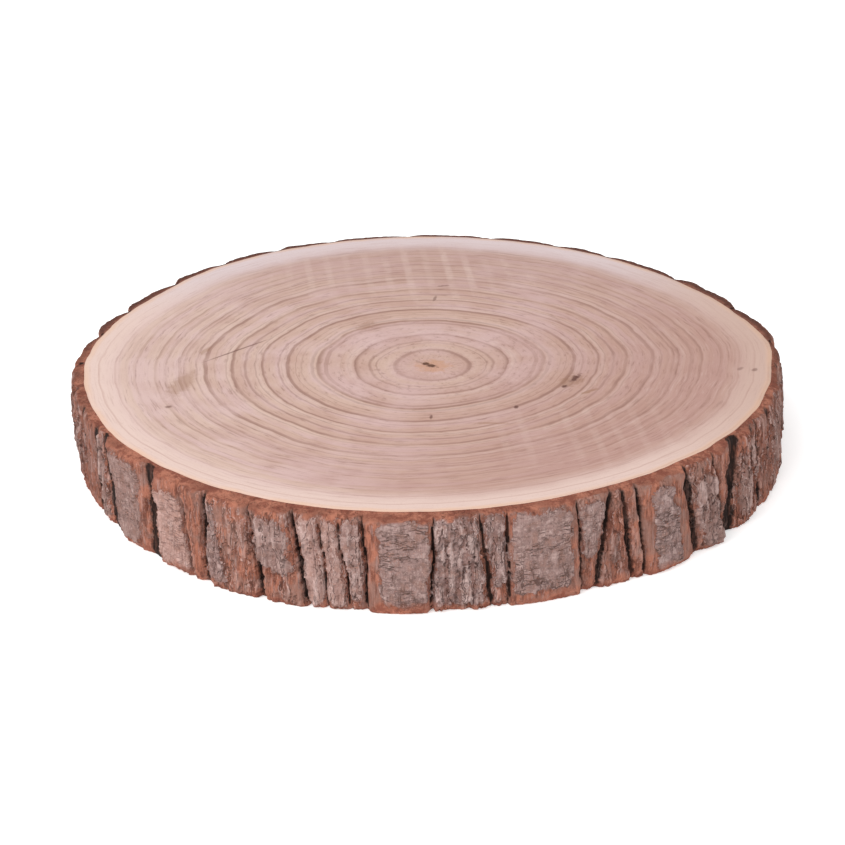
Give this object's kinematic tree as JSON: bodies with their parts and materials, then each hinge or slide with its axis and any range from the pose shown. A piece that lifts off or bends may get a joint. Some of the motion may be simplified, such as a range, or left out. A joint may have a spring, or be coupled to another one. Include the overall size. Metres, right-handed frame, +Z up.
{
  "type": "wood slice",
  "caption": "Round slice sawn across a tree trunk: a flat end-grain disc with growth rings inside its own ring of fissured bark, used as a stand, board or craft base.",
  "frame": {"origin": "on the sawn underside, at the middle of the wood's outline", "axes": "+Z up through the slice to its sanded top face, -Y towards the side the picture shows"},
  "size_m": [0.3096, 0.3125, 0.04],
  "materials": {
    "wood": "bare sawn and sanded end grain, matt",
    "bark": "dry rough bark, matt"
  },
  "bodies": {
    "root": {"wood": "wood", "bark": "bark"}
  },
  "joints": []
}
